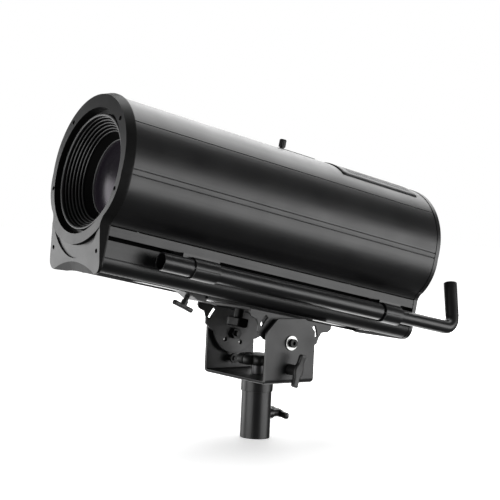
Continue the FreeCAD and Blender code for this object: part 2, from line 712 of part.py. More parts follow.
def slide_carriage():
    """Channel on the tilting bracket that grips the rail, with a nose block for its lock screw."""
    body = box(-25, 25, CARRIAGE_Y[0], CARRIAGE_Y[1], BRACKET_TOP, 56.5)
    nose = side_plate([(-171, 56.5), (-171, 47), (-166, 46.5), (-147, 38), (-131, 38), (-131, 56.5)], -20, 20)
    whole = fuse(body, nose)
    flange_slot = box(-17 - FIT * 4, 17 + FIT * 4, -180, 90, 47.5 - FIT, 51.2 + FIT)
    web_slot = box(-9 - FIT * 4, 9 + FIT * 4, -180, 90, 51, 60)
    floor = box(-16, 16, -180, -170.5, 40, 60)
    whole = whole.cut(flange_slot).cut(web_slot).cut(floor)
    for y in BOLT_Y:
        whole = whole.cut(rod(BOLT_R, (0, y, BRACKET_TOP - 1), (0, y, BRACKET_TOP + 3)))
    return whole.cut(Part.makeCylinder(4 + FIT, 22, V(*LOCK_TIP) - lock_axis() * 1.5, lock_axis()))


def lock_axis():
    lean = math.radians(LOCK_LEAN)
    return V(0, -math.sin(lean), -math.cos(lean))


def slide_lock_knob():
    """Wing handle that presses its tip on the rail."""
    handle = wing_handle(5.5, 11.5, 4.0, 0.0, 22.0, (8.0, 12.0, 38.0))
    handle.rotate(V(0, 0, 0), V(1, 0, 0), 90)
    handle.rotate(V(0, 0, 0), V(0, 1, 0), 90)
    handle.rotate(V(0, 0, 0), V(1, 0, 0), -LOCK_LEAN)
    handle.translate(V(*LOCK_TIP))
    return handle


def carriage_bolts():
    return group(*[rod(BOLT_R, (0, y, NUT_Z[1]), (0, y, BRACKET_TOP + 3)) for y in BOLT_Y])


def hanger_nuts():
    """Large hexagon nuts under the bracket plate, one on each hanger bolt."""
    nuts = []
    radius = NUT_ACROSS / math.sqrt(3)
    for y in BOLT_Y:
        points = [(radius * math.sin(math.radians(60 * i)), y + radius * math.cos(math.radians(60 * i)), NUT_Z[0])
                  for i in range(6)]
        nut = prism(points, (0, 0, NUT_Z[1] - NUT_Z[0]))
        nuts.append(nut.makeChamfer(1.5, nut.Edges))
    return group(*nuts)


# ---------------------------------------------------------------- tilting bracket
LOBE_R = 44.0             # round lower end of each tilting ear
LOBE_Z = 10.0
SLOT_R = 60.0             # arc slots near the upper corners
EAR_HOLE_Y = (-16.0, 16.0)  # two round holes low in each lobe
EAR_HOLE_Z = -13.0
EAR_HOLE_R = 3.2


def arc_slot(x0, x1, a0, a1, width):
    cutter = tube(SLOT_R + width / 2, SLOT_R - width / 2, (x0, 0, 0), (x1, 0, 0))
    reach = 120.0
    points = [(0, 0)]
    for a in (a0, (a0 + a1) / 2, a1):
        points.append((reach * math.cos(math.radians(a)), reach * math.sin(math.radians(a))))
    return cutter.common(side_plate(points, x0, x1))


def bracket_ear():
    x0 = BRACKET_X - BRACKET_T
    x1 = BRACKET_X
    edge = [(-84, 43.5), (-84, 35), (-80, 29.5), (-68, 26.5), (-63.5, 18), (-61.5, 7), (-46, -3), (46, -3), (61.5, 7),
            (63.5, 18), (68, 26.5), (81, 29.5), (86, 35), (86, 43.5)]
    ear = side_plate(edge, x0, x1)
    ear = fuse(ear, rod(LOBE_R, (x0, 0, LOBE_Z), (x1, 0, LOBE_Z)))
    ear = ear.common(box(x0, x1, -92, 87, -60, BRACKET_TOP))
    ear = ear.cut(rod(PIVOT_R + FIT, (x0 - 1, 0, 0), (x1 + 1, 0, 0)))
    for y in EAR_HOLE_Y:
        ear = ear.cut(rod(EAR_HOLE_R, (x0 - 1, y, EAR_HOLE_Z), (x1 + 1, y, EAR_HOLE_Z)))
    for a0, a1 in ((17, 35), (145, 163)):
        ear = ear.cut(arc_slot(x0 - 1, x1 + 1, a0, a1, 5.5))
    return ear


def tilt_bracket():
    """Inverted U: a top plate and two ears with round lobes that swing on the pivots."""
    top = box(-BRACKET_X, BRACKET_X, -84, 86, BRACKET_TOP - BRACKET_T, BRACKET_TOP)
    body = fuse(top, bracket_ear(), mirror_x(bracket_ear()))
    bends = [e for e in body.Edges if e.BoundBox.XLength < 0.01 and e.BoundBox.YLength > 160
             and abs(abs(e.BoundBox.XMax) - BRACKET_X) < 0.01 and e.BoundBox.ZMin > BRACKET_TOP - 0.01]
    body = body.makeFillet(3.5, bends)
    for y in BOLT_Y:
        body = body.cut(rod(BOLT_R, (0, y, 30), (0, y, 50)))
    return body


# ---------------------------------------------------------------- lower bracket, pan and tilt locks
LOCK_Z = -42.5
INNER_X = EAR_X - EAR_T


def rounded_floor():
    """The floor's outline from above, with rounded corners, as a tall block."""
    block = box(-EAR_X, EAR_X, -EAR_HALF, EAR_HALF, EAR_LOW - 1, EAR_TOP + 1)
    lower = [e for e in block.Edges if e.BoundBox.XLength > 100 and e.BoundBox.ZMax < EAR_LOW]
    return block.makeFillet(6.0, lower)


def lower_bracket():
    """Upright U: a floor that pans on the stud and two ears with cut corners."""
    cut = 21.0
    ear = [(-EAR_HALF, EAR_LOW), (-EAR_HALF, EAR_TOP - cut), (-EAR_HALF + cut, EAR_TOP), (EAR_HALF - cut, EAR_TOP),
           (EAR_HALF, EAR_TOP - cut), (EAR_HALF, EAR_LOW)]
    right = side_plate(ear, INNER_X, EAR_X)
    floor = box(-EAR_X, EAR_X, -EAR_HALF, EAR_HALF, EAR_LOW, EAR_LOW + EAR_T)
    body = fuse(floor, right, mirror_x(right))
    bends = [e for e in body.Edges if e.BoundBox.YLength > 90 and e.BoundBox.XLength < 0.01
             and abs(abs(e.BoundBox.XMax) - EAR_X) < 0.01 and e.BoundBox.ZMax < EAR_LOW + 0.01]
    body = body.makeFillet(8.0, bends)
    roots = [e for e in body.Edges if e.BoundBox.YLength > 90 and e.BoundBox.XLength < 0.01
             and abs(abs(e.BoundBox.XMax) - INNER_X) < 0.01 and e.BoundBox.ZMax < EAR_LOW + EAR_T + 0.01]
    body = body.makeFillet(3.0, roots)
    corners = [e for e in body.Edges if e.BoundBox.XLength > 4.9 and e.BoundBox.XLength < 5.1
               and e.BoundBox.YLength < 0.01 and e.BoundBox.ZLength < 0.01 and e.BoundBox.ZMin > 0]
    body = body.makeFillet(4.0, corners)
    body = body.common(rounded_floor())
    body = body.cut(rod(STUD_R + FIT, (0, 0, EAR_LOW - 1), (0, 0, EAR_LOW + 10)))
    body = body.cut(rod(PIVOT_R, (-100, 0, 0), (100, 0, 0)))
    return body.cut(rod(4.0 + FIT, (-100, 0, LOCK_Z), (100, 0, LOCK_Z)))


def hexagon(across, start, end):
    """Hexagonal bar along X."""
    r = across / math.sqrt(3)
    points = [(start, r * math.cos(math.radians(60 * i)), r * math.sin(math.radians(60 * i))) for i in range(6)]
    return prism(points, (end - start, 0, 0))


def pivot_bolts():
    """Socket-head bolts, one through each ear, heads outside and nuts inside."""
    bolts = []
    for side in (-1, 1):
        shank = rod(PIVOT_R, (side * 58, 0, 0), (side * (EAR_X + 2.5), 0, 0))
        head = rod(7.0, (side * (EAR_X + 2.5), 0, 0), (side * (EAR_X + 8.5), 0, 0))
        socket = hexagon(6, side * (EAR_X + 4.5), side * (EAR_X + 9))
        start = side * (BRACKET_X - BRACKET_T - 0.6)
        nut = hexagon(17, start, start - side * 8)
        bolts.append(fuse(shank, head, nut).cut(socket))
    return group(*bolts)


def pivot_washers():
    """Bright washers under the bolt heads and broad discs between the two pairs of ears."""
    washers = []
    for side in (-1, 1):
        washers.append(tube(11.5, PIVOT_R, (side * EAR_X, 0, 0), (side * (EAR_X + 2.5), 0, 0)))
        washers.append(tube(24, PIVOT_R, (side * (BRACKET_X + 0.4), 0, 0), (side * INNER_X, 0, 0)))
    return group(*washers)


def wing_handle(hub_r, hub_start, shank_r, shank, reach, bar):
    """Wing handle along +X from the origin: shank inwards, hub and a broad bar (x, y, z sizes) outwards."""
    stem = rod(shank_r, (-shank, 0, 0), (reach, 0, 0))
    hub = rod(hub_r, (hub_start, 0, 0), (reach, 0, 0))
    thick, broad, long = bar
    wing = box(reach - thick / 2, reach + thick / 2, -broad / 2, broad / 2, -long / 2, long / 2)
    corners = [e for e in wing.Edges if e.BoundBox.XLength > thick - 0.1]
    return fuse(stem, hub, wing.makeFillet(broad * 0.3, corners))


def tilt_lock_handle():
    handle = wing_handle(8.8, 0.3, 4.0, 18.0, 22.0, (11.0, 16.0, 54.0))
    handle.rotate(V(0, 0, 0), V(1, 0, 0), -17)
    handle.translate(V(EAR_X, 0, LOCK_Z))
    return handle


def clamp_dog(side):
    """Round dog inside an ear that pinches the rim of the lobe."""
    inner = side * (BRACKET_X - BRACKET_T - 0.4)
    neck = rod(5.5, (side * INNER_X, 0, LOCK_Z), (inner, 0, LOCK_Z))
    disc = rod(8.5, (inner, 0, LOCK_Z), (inner - side * 5, 0, LOCK_Z))
    return fuse(neck, disc)


def tilt_clamp_dogs():
    """The near dog takes the T-handle; the far one is drawn up by its own hexagon bolt."""
    near = clamp_dog(1).cut(rod(4.0 + FIT, (-100, 0, LOCK_Z), (100, 0, LOCK_Z)))
    shank = rod(4.0, (-EAR_X, 0, LOCK_Z), (-64, 0, LOCK_Z))
    head = hexagon(13, -EAR_X, -EAR_X - 6)
    head.translate(V(0, 0, LOCK_Z))
    return group(near, fuse(clamp_dog(-1), shank, head))


# ---------------------------------------------------------------- stand socket and pan knob
FLOOR_Z = PIVOT_Z + EAR_LOW              # underside of the lower bracket
LOCK_HEIGHT = 38.0                       # T-screw above the mouth of the socket
KNOB_LOBES = 10
KNOB_LOBE_R = 7.5
STUD_HEAD_R = 11.0
STUD_HEAD = 8.0


def stand_socket():
    """Thick tube that drops over a stand pole, closed at the top."""
    body = rod(TUBE_R, (0, 0, 0), (0, 0, FLOOR_Z - 0.1))
    body = body.cut(rod(SOCKET_R, (0, 0, -1), (0, 0, SOCKET_DEPTH)))
    body = body.cut(rod(STUD_HEAD_R, (0, 0, SOCKET_DEPTH - 1), (0, 0, SOCKET_DEPTH + STUD_HEAD)))
    body = body.cut(rod(STUD_R, (0, 0, SOCKET_DEPTH), (0, 0, FLOOR_Z)))
    boss = rod(9.5, (0, 0, LOCK_HEIGHT), (0, 33, LOCK_HEIGHT))
    body = fuse(body, boss.cut(rod(TUBE_R - 2, (0, 0, 0), (0, 0, 90))))
    return body.cut(rod(5.0 + FIT, (0, 0, LOCK_HEIGHT), (0, 40, LOCK_HEIGHT)))


def socket_collar():
    return tube(COLLAR_R, TUBE_R, (0, 0, FLOOR_Z - 22), (0, 0, FLOOR_Z - 0.1))


def pan_stud():
    stud = rod(STUD_R, (0, 0, SOCKET_DEPTH), (0, 0, PIVOT_Z - 32))
    head = rod(STUD_HEAD_R, (0, 0, SOCKET_DEPTH), (0, 0, SOCKET_DEPTH + STUD_HEAD))
    return fuse(stud, head)


def pan_knob():
    """Star knob with a hub nut that bears on the bracket floor."""
    low = PIVOT_Z - 44.0
    high = PIVOT_Z - 27.0
    star = rod(KNOB_R - 5.5, (0, 0, low), (0, 0, high))
    for i in range(KNOB_LOBES):
        a = 2 * math.pi * i / KNOB_LOBES
        x = (KNOB_R - KNOB_LOBE_R) * math.cos(a)
        y = (KNOB_R - KNOB_LOBE_R) * math.sin(a)
        star = star.fuse(rod(KNOB_LOBE_R, (x, y, low), (x, y, high)))
    hub = rod(11, (0, 0, FLOOR_Z + EAR_T + 0.1), (0, 0, low + 1))
    knob = fuse(star, hub)
    return knob.cut(rod(STUD_R + FIT, (0, 0, FLOOR_Z), (0, 0, PIVOT_Z - 31.5)))


def stand_lock_screw():
    """T-screw that grips the stand pole."""
    handle = wing_handle(6.0, 0.3, 5.0, 12.0, 16.0, (10.0, 18.0, 46.0))
    handle.rotate(V(0, 0, 0), V(1, 0, 0), 98)
    handle.rotate(V(0, 0, 0), V(0, 0, 1), 90)
    handle.translate(V(0, 33, LOCK_HEIGHT))
    return handle


# ---------------------------------------------------------------- export
def main():
    wall = casing_wall()
    upper = side_panel(wall)
    rail = base_rail()
    head = {
        "front_frame": front_frame(),
        "front_frame_screws": front_screws(),
        "lens_hood": lens_hood(),
        "lens_retainer": lens_retainer(),
        "front_lens": front_lens(),
        "front_bulkhead": fuse(bulkhead(FRONT_BULK_Y[0], FRONT_BULK_Y[1], 66), lens_cell()),
        "lamp_bulkhead": bulkhead(REAR_BULK_Y[0], REAR_BULK_Y[1], 40),
        "top_cover": top_cover(wall),
        "side_panel_right": upper,
        "side_panel_left": mirror_x(upper),
        "base_rail_right": rail,
        "base_rail_left": mirror_x(rail),
        "bottom_plate": bottom_plate(),
        "vent_cover": vent_cover(),
        "rear_frame": rear_frame(),
        "rear_panel": rear_panel(),
        "rear_panel_screws": rear_screws(),
        "guide_rods": guide_rods(),
        "gate_housing": gate_housing(),
        "condenser_lens": condenser_lens(),
        "led_module": led_module(),
        "heat_sink": heat_sink(),
        "fan_frame": fan_frame(),
        "fan_rotor": fan_rotor(),
        "driver_box": driver_box(),
        "control_module": control_module(),
        "dimmer_knob": dimmer_knob(),
        "power_inlet": power_inlet(),
        "power_rocker": power_rocker(),
        "data_sockets": data_sockets(),
        "slide_rail": slide_rail(),
        "lens_carriage": lens_carriage(),
        "zoom_lens": zoom_lens(),
        "slot_slider": slot_slider(),
        "focus_knob": focus_knob(),
        "front_clamp_upper": clamp_half(SLEEVE_R, *FRONT_CLAMP_Y, 14.0, True),
        "front_clamp_lower": clamp_half(SLEEVE_R, *FRONT_CLAMP_Y, 14.0, False),
        "rear_clamp_upper": clamp_half(ROD_R, *REAR_CLAMP_Y, 2.0, True),
        "rear_clamp_lower": clamp_half(ROD_R, *REAR_CLAMP_Y, 2.0, False),
        "clamp_screws": clamp_screws(),
        "handle_sleeve": handle_sleeve(),
        "handle_rod": handle_rod(),
        "slide_carriage": slide_carriage(),
        "slide_lock_knob": slide_lock_knob(),
        "carriage_bolts": carriage_bolts(),
        "hanger_nuts": hanger_nuts(),
        "tilt_bracket": tilt_bracket(),
    }
    for number, x in enumerate(BUTTON_X, 1):
        head["menu_button_" + str(number)] = menu_button(x)
    yoke = {
        "lower_bracket": lower_bracket(),
        "pivot_bolts": pivot_bolts(),
        "pivot_washers": pivot_washers(),
        "tilt_lock_handle": tilt_lock_handle(),
        "tilt_clamp_dogs": tilt_clamp_dogs(),
    }
    stand = {
        "stand_socket": stand_socket(),
        "socket_collar": socket_collar(),
        "pan_stud": pan_stud(),
        "pan_knob": pan_knob(),
        "stand_lock_screw": stand_lock_screw(),
    }
    for name, shape in head.items():
        save(name, shape, on_head)
    for name, shape in yoke.items():
        save(name, shape, on_yoke)
    for name, shape in stand.items():
        save(name, shape)


main()
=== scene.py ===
import json
import math

import bmesh
import bpy
from mathutils import Matrix, Vector


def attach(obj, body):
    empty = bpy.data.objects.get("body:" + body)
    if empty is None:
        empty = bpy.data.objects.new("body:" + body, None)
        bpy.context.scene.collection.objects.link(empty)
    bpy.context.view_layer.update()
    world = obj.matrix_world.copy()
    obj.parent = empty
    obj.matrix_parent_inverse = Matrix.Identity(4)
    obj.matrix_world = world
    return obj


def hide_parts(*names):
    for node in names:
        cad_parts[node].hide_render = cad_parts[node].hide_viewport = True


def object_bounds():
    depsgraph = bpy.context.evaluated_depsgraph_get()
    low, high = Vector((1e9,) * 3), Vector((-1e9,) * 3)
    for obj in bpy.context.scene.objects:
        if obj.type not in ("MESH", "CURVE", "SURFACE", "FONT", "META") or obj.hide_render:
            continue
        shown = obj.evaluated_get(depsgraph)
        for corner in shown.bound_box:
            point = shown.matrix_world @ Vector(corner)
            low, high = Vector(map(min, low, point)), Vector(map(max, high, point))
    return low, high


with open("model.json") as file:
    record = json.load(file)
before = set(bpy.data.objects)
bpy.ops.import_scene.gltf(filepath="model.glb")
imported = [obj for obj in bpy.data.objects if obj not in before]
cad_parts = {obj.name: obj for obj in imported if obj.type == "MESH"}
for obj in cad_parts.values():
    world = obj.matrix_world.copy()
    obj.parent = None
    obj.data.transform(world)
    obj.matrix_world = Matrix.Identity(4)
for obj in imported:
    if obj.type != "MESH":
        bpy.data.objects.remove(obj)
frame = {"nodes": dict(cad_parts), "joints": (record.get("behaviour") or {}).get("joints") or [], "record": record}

CAD_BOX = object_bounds()
NODES = frame["nodes"]
JOINTS = {joint["name"]: joint for joint in frame["joints"]}
BODY = {node: body for body, members in frame["record"]["behaviour"]["bodies"].items() for node in members}
SLOT = {part["node"]: part["material_slot"] for part in frame["record"]["subparts"]}
MM = 0.001

# ---------------------------------------------------------------- the head's own frame
# X across, Y from the lens to the rear, Z up out of the casing; its origin is the tilt pivot.
ACROSS = Vector((1, 0, 0))
ALONG = Vector(JOINTS["head_slide"]["axis"]).normalized()
UP = ACROSS.cross(ALONG)
PIVOT = Vector(JOINTS["tilt"]["pos_m"])
HEAD = Matrix.Translation(PIVOT) @ Matrix((ACROSS, ALONG, UP)).transposed().to_4x4()
TO_HEAD = HEAD.inverted()
TILT = math.atan2(-ALONG.z, ALONG.y)     # how far the head leans at rest
OPTIC_Z = 194.5                          # height of the optical axis above the tilt pivot, mm


def head_box(node):
    """Lowest and highest corner of a CAD node, measured in the head's frame."""
    points = [TO_HEAD @ v.co for v in NODES[node].data.vertices]
    low = Vector(min(p[i] for p in points) for i in range(3))
    high = Vector(max(p[i] for p in points) for i in range(3))
    return low, high


def moved(x, y, z):
    """Shift by millimetres."""
    return Matrix.Translation(Vector((x, y, z)) * MM)


def rotated(degrees, axis):
    return Matrix.Rotation(math.radians(degrees), 4, axis)


def around(steps):
    """Evenly spaced angles of a full turn."""
    return [2 * math.pi * k / steps for k in range(steps)]


# ---------------------------------------------------------------- material nodes
RUBBED_EDGE = 0.0007      # width of the worn edges on the larger parts, m
FINE_EDGE = 0.0006        # the same on anodised and moulded parts
FINE_GRAIN = 0.00001      # depth of the finest bumps, m
WORN_SHARE = 0.75         # how far a fully rubbed spot turns to the worn tone


def grey(level, blue=0.0):
    """Neutral tone, with a little more blue where it is asked for."""
    return (level, level, level + blue)


def scaled(color, gain, lift=0.0):
    return tuple(gain * channel + lift for channel in color)


class Shader:
    """A Principled material with short calls for the nodes that the finishes share."""

    def __init__(self, name):
        self.material = bpy.data.materials.new(name)
        self.material.use_nodes = True
        self.tree = self.material.node_tree
        self.surface = self.tree.nodes["Principled BSDF"]
        self.place = self.add("ShaderNodeTexCoord").outputs["Object"]

    def add(self, kind, inputs=None, **settings):
        """New node with its settings, and constants for its inputs by name or number."""
        node = self.tree.nodes.new(kind)
        for key, value in settings.items():
            setattr(node, key, value)
        for key, value in (inputs or {}).items():
            node.inputs[key].default_value = value
        return node

    def link(self, source, target):
        self.tree.links.new(source, target)

    def fix(self, **values):
        """Constants on the surface's own sockets."""
        for key, value in values.items():
            self.surface.inputs[key.replace("_", " ")].default_value = value

    def drive(self, **sources):
        """Node outputs linked to the surface's sockets."""
        for key, source in sources.items():
            self.link(source, self.surface.inputs[key.replace("_", " ")])

    def mapped(self, scale, location=(0, 0, 0)):
        """Object coordinates turned with the head, in units of the given scale."""
        frame_of_head = {"Location": location, "Rotation": (-TILT, 0, 0), "Scale": scale}
        mapping = self.add("ShaderNodeMapping", frame_of_head, vector_type="TEXTURE")
        self.link(self.place, mapping.inputs["Vector"])
        return mapping.outputs["Vector"]

    def stretched(self, across, along, up):
        """Coordinates for a grain that runs along or around the head."""
        return self.mapped((1 / across, 1 / along, 1 / up))

    def combine(self, operation, first, second):
        """Math node whose second operand is a number or another output."""
        fixed = isinstance(second, float)
        node = self.add("ShaderNodeMath", {1: second} if fixed else None, operation=operation)
        self.link(first, node.inputs[0])
        if not fixed:
            self.link(second, node.inputs[1])
        return node.outputs["Value"]

    def noise(self, scale, detail=3.0, rough=0.55, place=None):
        noise = self.add("ShaderNodeTexNoise", {"Scale": scale, "Detail": detail, "Roughness": rough})
        self.link(place or self.place, noise.inputs["Vector"])
        return noise.outputs["Fac"]

    def spread(self, value, low, high, start=0.3, end=0.7):
        """Maps a value between start and end to the range from low to high."""
        limits = {"From Min": start, "From Max": end, "To Min": low, "To Max": high}
        node = self.add("ShaderNodeMapRange", limits)
        self.link(value, node.inputs["Value"])
        return node.outputs["Result"]

    def cloudy(self, scale, detail, middle, swing):
        """Noise that swings evenly about a middle value."""
        return self.spread(self.noise(scale, detail), middle - swing, middle + swing)

    def ramp(self, value, *stops):
        """Colour ramp with a (position, colour) pair for each stop."""
        node = self.add("ShaderNodeValToRGB")
        ramp = node.color_ramp
        while len(ramp.elements) < len(stops):
            ramp.elements.new(0.5)
        for element, (position, color) in zip(ramp.elements, stops):
            element.position = position
            element.color = (*color, 1)
        self.link(value, node.inputs["Fac"])
        return node.outputs["Color"]

    def blend_color(self, factor, first, second):
        """From a linked colour towards a fixed one."""
        node = self.add("ShaderNodeMix", {7: (*second, 1)}, data_type="RGBA")
        self.link(factor, node.inputs["Factor"])
        self.link(first, node.inputs[6])
        return node.outputs[2]

    def blend_value(self, factor, first, second):
        """From a linked value towards a fixed one."""
        node = self.add("ShaderNodeMix", {3: second}, data_type="FLOAT")
        self.link(factor, node.inputs["Factor"])
        self.link(first, node.inputs[2])
        return node.outputs[0]

    def bump(self, height, depth, strength=1.0, normal=None):
        node = self.add("ShaderNodeBump", {"Strength": strength, "Distance": depth})
        self.link(height, node.inputs["Height"])
        if normal:
            self.link(normal, node.inputs["Normal"])
        return node.outputs["Normal"]

    def edges(self, radius):
        """Where the surface bends sharply outwards or inwards: 0 on flats, towards 1 on edges."""
        bevel = self.add("ShaderNodeBevel", {"Radius": radius}, samples=4)
        geometry = self.add("ShaderNodeNewGeometry")
        dot = self.add("ShaderNodeVectorMath", operation="DOT_PRODUCT")
        self.link(bevel.outputs["Normal"], dot.inputs[0])
        self.link(geometry.outputs["Normal"], dot.inputs[1])
        return self.spread(dot.outputs["Value"], 0.0, 1.0, 0.97, 0.75)

    def wear(self, color, roughness, radius, worn, worn_rough):
        """Rubbed edges: patches of the edge show a lighter and smoother tone."""
        patches = self.spread(self.noise(55, 4, 0.65), 0.0, 1.0, 0.52, 0.68)
        rubbed = self.combine("MULTIPLY", self.edges(radius), patches)
        mask = self.combine("MULTIPLY", rubbed, WORN_SHARE)
        self.drive(Base_Color=self.blend_color(mask, color, worn),
                   Roughness=self.blend_value(mask, roughness, worn_rough))


def powder_coat(name, dark, light, rough, grain=900.0, depth=0.00003, specular=0.5):
    """Powder coat: fine orange peel, cloudy gloss and slightly rubbed edges."""
    s = Shader(name)
    color = s.ramp(s.noise(14, 4), (0.3, dark), (0.7, light))
    s.wear(color, s.cloudy(22, 5, rough, 0.05), RUBBED_EDGE, scaled(light, 3.5, 0.02), rough - 0.06)
    s.drive(Normal=s.bump(s.noise(grain, 2, 0.5), depth))
    s.fix(Specular_IOR_Level=specular)
    return s.material


def extruded(name, dark, light, rough, specular=0.5):
    """Satin painted extrusion: hardly visible draw lines along its length and a fine grain."""
    s = Shader(name)
    lines = s.noise(1.0, 3, 0.6, s.stretched(420.0, 3.0, 420.0))
    color = s.ramp(s.noise(9, 4), (0.3, dark), (0.7, light))
    roughness = s.combine("ADD", s.cloudy(16, 5, rough, 0.035), s.spread(lines, -0.025, 0.025))
    s.wear(color, roughness, RUBBED_EDGE, scaled(light, 3.5, 0.02), rough - 0.06)
    fine = s.bump(s.noise(1400, 2, 0.5), 1.2 * FINE_GRAIN)
    s.drive(Normal=s.bump(lines, 1.2 * FINE_GRAIN, 0.6, fine))
    s.fix(Specular_IOR_Level=specular)
    return s.material


def anodised(name, color, rough, metallic=0.0):
    """Turned and anodised aluminium: fine rings and a soft sheen."""
    s = Shader(name)
    tint = s.ramp(s.noise(18, 3), (0.3, scaled(color, 0.8)), (0.7, scaled(color, 1.2)))
    s.wear(tint, s.cloudy(30, 4, rough, 0.04), FINE_EDGE, scaled(color, 3, 0.03), rough - 0.08)
    s.drive(Normal=s.bump(s.noise(1.0, 2, 0.5, s.stretched(90.0, 1800.0, 90.0)), FINE_GRAIN))
    s.fix(Metallic=metallic)
    return s.material


def bare_metal(name, color, rough, scale=60.0):
    """Plated or machined metal: brushed grain with small dull stains."""
    s = Shader(name)
    s.drive(Base_Color=s.ramp(s.noise(scale, 5), (0.3, scaled(color, 0.75)), (0.65, color)),
            Roughness=s.spread(s.noise(scale * 2.5, 4), rough - 0.08, rough + 0.12),
            Normal=s.bump(s.noise(1.0, 3, 0.6, s.stretched(2500.0, 200.0, 2500.0)), FINE_GRAIN))
    s.fix(Metallic=1.0)
    return s.material


def moulded(name, color, rough):
    """Moulded plastic with a spark-eroded grain."""
    s = Shader(name)
    tint = s.ramp(s.noise(25, 3), (0.3, scaled(color, 0.8)), (0.7, scaled(color, 1.25)))
    s.wear(tint, s.cloudy(45, 4, rough, 0.06), FINE_EDGE, scaled(color, 2.5, 0.015), rough - 0.1)
    s.drive(Normal=s.bump(s.noise(1600, 2, 0.6), 4 * FINE_GRAIN))
    return s.material


def coated_glass(name, tint, reflection):
    """Clear lens glass with a coloured reflection."""
    s = Shader(name)
    s.drive(Base_Color=s.ramp(s.noise(7, 2), (0.35, tint), (0.65, scaled(tint, 0.9))),
            Roughness=s.spread(s.noise(40, 4), 0.02, 0.06))
    s.fix(Transmission_Weight=0.85, IOR=1.52, Specular_Tint=(*reflection, 1), Specular_IOR_Level=0.8)
    return s.material


def objective_glass_painted_shade(name):
    """Objective as opaque glass: painted shade darkens it towards the middle for the unlit inside seen through it,
    and a painted reflection of the violet coating lightens it towards the rim.
    """
    s = Shader(name)
    disc = s.mapped((0.07, 1.0, 0.07), HEAD @ Vector((0, 0, OPTIC_Z * MM)))
    flat = s.add("ShaderNodeVectorMath", {1: (1, 0, 1)}, operation="MULTIPLY")
    s.link(disc, flat.inputs[0])
    gradient = s.add("ShaderNodeTexGradient", gradient_type="SPHERICAL")
    s.link(flat.outputs["Vector"], gradient.inputs["Vector"])
    # Painted shade and reflection: darkest on the optical axis, lighter violet at the rim.
    rim, middle, depth = (0.022, 0.017, 0.024), (0.010, 0.008, 0.012), (0.004, 0.0035, 0.005)
    tone = s.ramp(gradient.outputs["Fac"], (0.0, rim), (0.5, middle), (1.0, depth))
    s.drive(Base_Color=s.blend_color(s.spread(s.noise(30, 4), 0.0, 0.12), tone, (0.05, 0.045, 0.055)),
            Roughness=s.spread(s.noise(25, 3), 0.2, 0.26))
    s.fix(IOR=1.45, Specular_IOR_Level=0.4, Specular_Tint=(0.9, 0.78, 0.95, 1))
    return s.material


def board(name, mask, copper):
    """Circuit board: a solder mask with copper showing through in small patches."""
    s = Shader(name)
    s.drive(Base_Color=s.ramp(s.noise(160, 3), (0.45, mask), (0.6, copper)),
            Roughness=s.spread(s.noise(90, 3), 0.35, 0.5),
            Normal=s.bump(s.noise(700, 2), 3 * FINE_GRAIN))
    return s.material


def screen(name):
    """Unlit display under a clear cover: blue black with a fine dot grid."""
    s = Shader(name)
    grid = s.add("ShaderNodeTexVoronoi", {"Scale": 900, "Randomness": 0.0}, feature="F1")
    s.link(s.place, grid.inputs["Vector"])
    dots = s.ramp(grid.outputs["Distance"], (0.2, (0.010, 0.016, 0.024)), (0.6, (0.004, 0.006, 0.010)))
    s.drive(Base_Color=dots, Roughness=s.spread(s.noise(60, 3), 0.06, 0.12))
    s.fix(Specular_IOR_Level=0.6)
    return s.material


BLACK = grey(0.006, 0.0005)
NEAR_BLACK = grey(0.009, 0.0005)
DARK = grey(0.013, 0.0005)
FINISHES = {
    "casing": extruded("casing_satin", BLACK, NEAR_BLACK, 0.36),
    "rail": extruded("rail_satin", BLACK, NEAR_BLACK, 0.36, 0.42),
    "front_paint": powder_coat("front_frame_paint", grey(0.010, 0.0005), DARK, 0.34),
    "hood": powder_coat("baffle_black", grey(0.006), grey(0.009), 0.36, specular=0.75),
    # Near-black, dull finish inside the hood cone, and painted shade on the faces in the base rails' grooves.
    "velvet_and_painted_shade": powder_coat("velvet_black_and_painted_shade", grey(0.001), grey(0.002), 0.75, specular=0.08),
    # Darker, duller copy of the front frame's paint: painted shade on the frame's sides and foot.
    "frame_side_painted_shade": powder_coat("front_frame_side_painted_shade", grey(0.003), grey(0.005), 0.46, specular=0.3),
    "bracket": powder_coat("bracket_powder", NEAR_BLACK, DARK, 0.44, 1100.0, 0.00005),
    "anodised": anodised("anodised_black", grey(0.008, 0.0005), 0.34),
    "zinc": bare_metal("zinc_plate", (0.5, 0.5, 0.49), 0.34),
    "blackened": bare_metal("black_oxide", grey(0.03), 0.4),
    "aluminium": bare_metal("machined_aluminium", grey(0.72), 0.3),
    "plastic": moulded("moulded_black", grey(0.008), 0.42),
    "lens": coated_glass("coated_lens", (0.9, 0.86, 0.95), (0.85, 0.6, 0.95)),
    "sheet_steel": bare_metal("galvanised_sheet", (0.45, 0.46, 0.47), 0.42, 25.0),
    "circuit": board("circuit_board", (0.01, 0.06, 0.03), (0.25, 0.18, 0.06)),
    "objective": objective_glass_painted_shade("objective_coating_painted_shade"),
    "bright_rim": anodised("bright_rim", grey(0.12), 0.3),
    "mesh_plate": powder_coat("vent_mesh", grey(0.02, 0.001), grey(0.028, 0.001), 0.42),
    "knob_rubber": moulded("knob_rubber", grey(0.006), 0.5),
    "screen": screen("display_screen"),
    "turned_hub": anodised("turned_hub", grey(0.06, 0.002), 0.35, 0.6),
}


